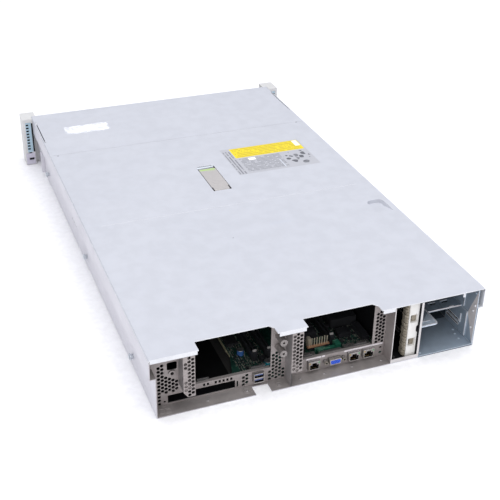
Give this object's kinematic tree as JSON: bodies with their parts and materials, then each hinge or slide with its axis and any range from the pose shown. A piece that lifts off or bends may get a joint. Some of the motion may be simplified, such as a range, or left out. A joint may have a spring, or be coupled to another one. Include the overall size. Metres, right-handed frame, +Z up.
{
  "type": "2u rack server",
  "caption": "Rack server two units high with a sliding access panel, hot-plug drives and fans, open supply bays and perforated riser brackets.",
  "frame": {"origin": "middle of the footprint, on the surface that the server lies on", "axes": "+Z up, +Y towards the rear with its bays and ports, -Y towards the ears and drives, +X to the left seen from the front"},
  "size_m": [0.4826, 0.776, 0.0873],
  "materials": {
    "chassis_tray": "pale zinc-plated sheet",
    "front_top_panel": "pale bluish grey paint",
    "rear_io_panel": "warm grey zinc plate",
    "left_riser_bracket": "warm grey zinc plate",
    "centre_bracket": "warm grey zinc plate",
    "riser_standoffs": "turned",
    "rail_studs": "turned",
    "latch_housing": "moulded, dark grey",
    "hood_latch": "moulded, grey with a pale green stripe",
    "cross_brace": "zinc plate",
    "bay_wall": "zinc plate",
    "psu_cage": "slate paint",
    "bay_blank": "cream moulding",
    "power_backplane": "green circuit board",
    "system_board": "green circuit board",
    "cpu_sockets": "socket and load frame",
    "heatsinks": "mill finish fins",
    "memory_slots": "black slots",
    "memory_modules": "green modules",
    "riser_slots": "black slots",
    "power_connector": "cream housing",
    "board_capacitors": "sleeved cans",
    "chipset_heatsink": "mill finish fins",
    "coin_cell": "cell in a black holder",
    "insulator_sheet": "black film",
    "network_sockets": "tinned shells",
    "video_connector": "blue insert in a steel shell",
    "usb_sockets": "tinned shell",
    "air_baffle": "black moulding",
    "fan_cage": "zinc plate",
    "fan_frames": "black moulding",
    "drive_cage": "zinc plate",
    "drive_backplane": "green circuit board",
    "drive_blanks": "black moulding",
    "box_blank": "dark grey paint",
    "media_module": "black moulding",
    "ear_left": "cream moulding",
    "ear_right": "cream moulding",
    "ear_lever_left": "lavender grey moulding",
    "ear_lever_right": "lavender grey moulding",
    "power_button": "grey moulding",
    "access_panel": "pale bluish grey paint",
    "fan_rotor_1": "black moulding",
    "fan_rotor_2": "black moulding",
    "fan_rotor_3": "black moulding",
    "fan_rotor_4": "black moulding",
    "fan_rotor_5": "black moulding",
    "fan_rotor_6": "black moulding",
    "drive_carrier_1": "black moulding",
    "disk_drive_1": "cast and stamped case",
    "carrier_lever_1": "grey moulding",
    "drive_carrier_2": "black moulding",
    "disk_drive_2": "cast and stamped case",
    "carrier_lever_2": "grey moulding",
    "drive_carrier_3": "black moulding",
    "disk_drive_3": "cast and stamped case",
    "carrier_lever_3": "grey moulding",
    "drive_carrier_4": "black moulding",
    "disk_drive_4": "cast and stamped case",
    "carrier_lever_4": "grey moulding"
  },
  "bodies": {
    "chassis": {"chassis_tray": "chassis_tray", "front_top_panel": "front_top_panel", "rear_io_panel": "rear_io_panel", "left_riser_bracket": "left_riser_bracket", "centre_bracket": "centre_bracket", "riser_standoffs": "riser_standoffs", "rail_studs": "rail_studs", "cross_brace": "cross_brace", "bay_wall": "bay_wall", "psu_cage": "psu_cage", "bay_blank": "bay_blank", "power_backplane": "power_backplane", "system_board": "system_board", "cpu_sockets": "cpu_sockets", "heatsinks": "heatsinks", "memory_slots": "memory_slots", "memory_modules": "memory_modules", "riser_slots": "riser_slots", "power_connector": "power_connector", "board_capacitors": "board_capacitors", "chipset_heatsink": "chipset_heatsink", "coin_cell": "coin_cell", "insulator_sheet": "insulator_sheet", "network_sockets": "network_sockets", "video_connector": "video_connector", "usb_sockets": "usb_sockets", "air_baffle": "air_baffle", "fan_cage": "fan_cage", "fan_frames": "fan_frames", "drive_cage": "drive_cage", "drive_backplane": "drive_backplane", "drive_blanks": "drive_blanks", "box_blank": "box_blank", "media_module": "media_module", "ear_left": "ear_left", "ear_right": "ear_right"},
    "access_panel": {"access_panel": "access_panel", "latch_housing": "latch_housing"},
    "hood_latch": {"hood_latch": "hood_latch"},
    "ear_lever_left": {"ear_lever_left": "ear_lever_left"},
    "ear_lever_right": {"ear_lever_right": "ear_lever_right"},
    "power_button": {"power_button": "power_button"},
    "fan_1": {"fan_rotor_1": "fan_rotor_1"},
    "fan_2": {"fan_rotor_2": "fan_rotor_2"},
    "fan_3": {"fan_rotor_3": "fan_rotor_3"},
    "fan_4": {"fan_rotor_4": "fan_rotor_4"},
    "fan_5": {"fan_rotor_5": "fan_rotor_5"},
    "fan_6": {"fan_rotor_6": "fan_rotor_6"},
    "drive_1": {"drive_carrier_1": "drive_carrier_1", "disk_drive_1": "disk_drive_1"},
    "drive_lever_1": {"carrier_lever_1": "carrier_lever_1"},
    "drive_2": {"drive_carrier_2": "drive_carrier_2", "disk_drive_2": "disk_drive_2"},
    "drive_lever_2": {"carrier_lever_2": "carrier_lever_2"},
    "drive_3": {"drive_carrier_3": "drive_carrier_3", "disk_drive_3": "disk_drive_3"},
    "drive_lever_3": {"carrier_lever_3": "carrier_lever_3"},
    "drive_4": {"drive_carrier_4": "drive_carrier_4", "disk_drive_4": "disk_drive_4"},
    "drive_lever_4": {"carrier_lever_4": "carrier_lever_4"}
  },
  "joints": [
    {"name": "hood_slide", "type": "slide", "parent": "chassis", "child": "access_panel", "axis": [0, 1, 0], "range_m": [0, 0.013]},
    {"name": "latch_hinge", "type": "hinge", "parent": "access_panel", "child": "hood_latch", "pos_m": [0, 0.0057, 0.0808], "axis": [-1, 0, 0], "range_deg": [0, 78]},
    {"name": "fan_spin_1", "type": "hinge", "parent": "chassis", "child": "fan_1", "pos_m": [-0.175, -0.1, 0.0385], "axis": [0, 1, 0], "continuous": true},
    {"name": "fan_spin_2", "type": "hinge", "parent": "chassis", "child": "fan_2", "pos_m": [-0.105, -0.1, 0.0385], "axis": [0, 1, 0], "continuous": true},
    {"name": "fan_spin_3", "type": "hinge", "parent": "chassis", "child": "fan_3", "pos_m": [-0.035, -0.1, 0.0385], "axis": [0, 1, 0], "continuous": true},
    {"name": "fan_spin_4", "type": "hinge", "parent": "chassis", "child": "fan_4", "pos_m": [0.035, -0.1, 0.0385], "axis": [0, 1, 0], "continuous": true},
    {"name": "fan_spin_5", "type": "hinge", "parent": "chassis", "child": "fan_5", "pos_m": [0.105, -0.1, 0.0385], "axis": [0, 1, 0], "continuous": true},
    {"name": "fan_spin_6", "type": "hinge", "parent": "chassis", "child": "fan_6", "pos_m": [0.175, -0.1, 0.0385], "axis": [0, 1, 0], "continuous": true},
    {"name": "carrier_slide_1", "type": "slide", "parent": "chassis", "child": "drive_1", "axis": [0, -1, 0], "range_m": [0, 0.12]},
    {"name": "carrier_lever_hinge_1", "type": "hinge", "parent": "drive_1", "child": "drive_lever_1", "pos_m": [0.0833, -0.3806, 0.0118], "axis": [1, 0, 0], "range_deg": [0, 70]},
    {"name": "carrier_slide_2", "type": "slide", "parent": "chassis", "child": "drive_2", "axis": [0, -1, 0], "range_m": [0, 0.12]},
    {"name": "carrier_lever_hinge_2", "type": "hinge", "parent": "drive_2", "child": "drive_lever_2", "pos_m": [0.1005, -0.3806, 0.0118], "axis": [1, 0, 0], "range_deg": [0, 70]},
    {"name": "carrier_slide_3", "type": "slide", "parent": "chassis", "child": "drive_3", "axis": [0, -1, 0], "range_m": [0, 0.12]},
    {"name": "carrier_lever_hinge_3", "type": "hinge", "parent": "drive_3", "child": "drive_lever_3", "pos_m": [0.1177, -0.3806, 0.0118], "axis": [1, 0, 0], "range_deg": [0, 70]},
    {"name": "carrier_slide_4", "type": "slide", "parent": "chassis", "child": "drive_4", "axis": [0, -1, 0], "range_m": [0, 0.12]},
    {"name": "carrier_lever_hinge_4", "type": "hinge", "parent": "drive_4", "child": "drive_lever_4", "pos_m": [0.1349, -0.3806, 0.0118], "axis": [1, 0, 0], "range_deg": [0, 70]},
    {"name": "ear_lever_hinge_left", "type": "hinge", "parent": "chassis", "child": "ear_lever_left", "pos_m": [0.2228, -0.3847, 0.0375], "axis": [0, 0, -1], "range_deg": [0, 85]},
    {"name": "ear_lever_hinge_right", "type": "hinge", "parent": "chassis", "child": "ear_lever_right", "pos_m": [-0.2228, -0.3847, 0.0375], "axis": [0, 0, 1], "range_deg": [0, 85]},
    {"name": "power_button_press", "type": "slide", "parent": "chassis", "child": "power_button", "axis": [0, 1, 0], "range_m": [0, 0.0015], "stiffness_N_per_m": 500}
  ],
  "couplings": [
    {"joint": "latch_hinge", "follows": "hood_slide", "rad_per_m": 104.72}
  ]
}
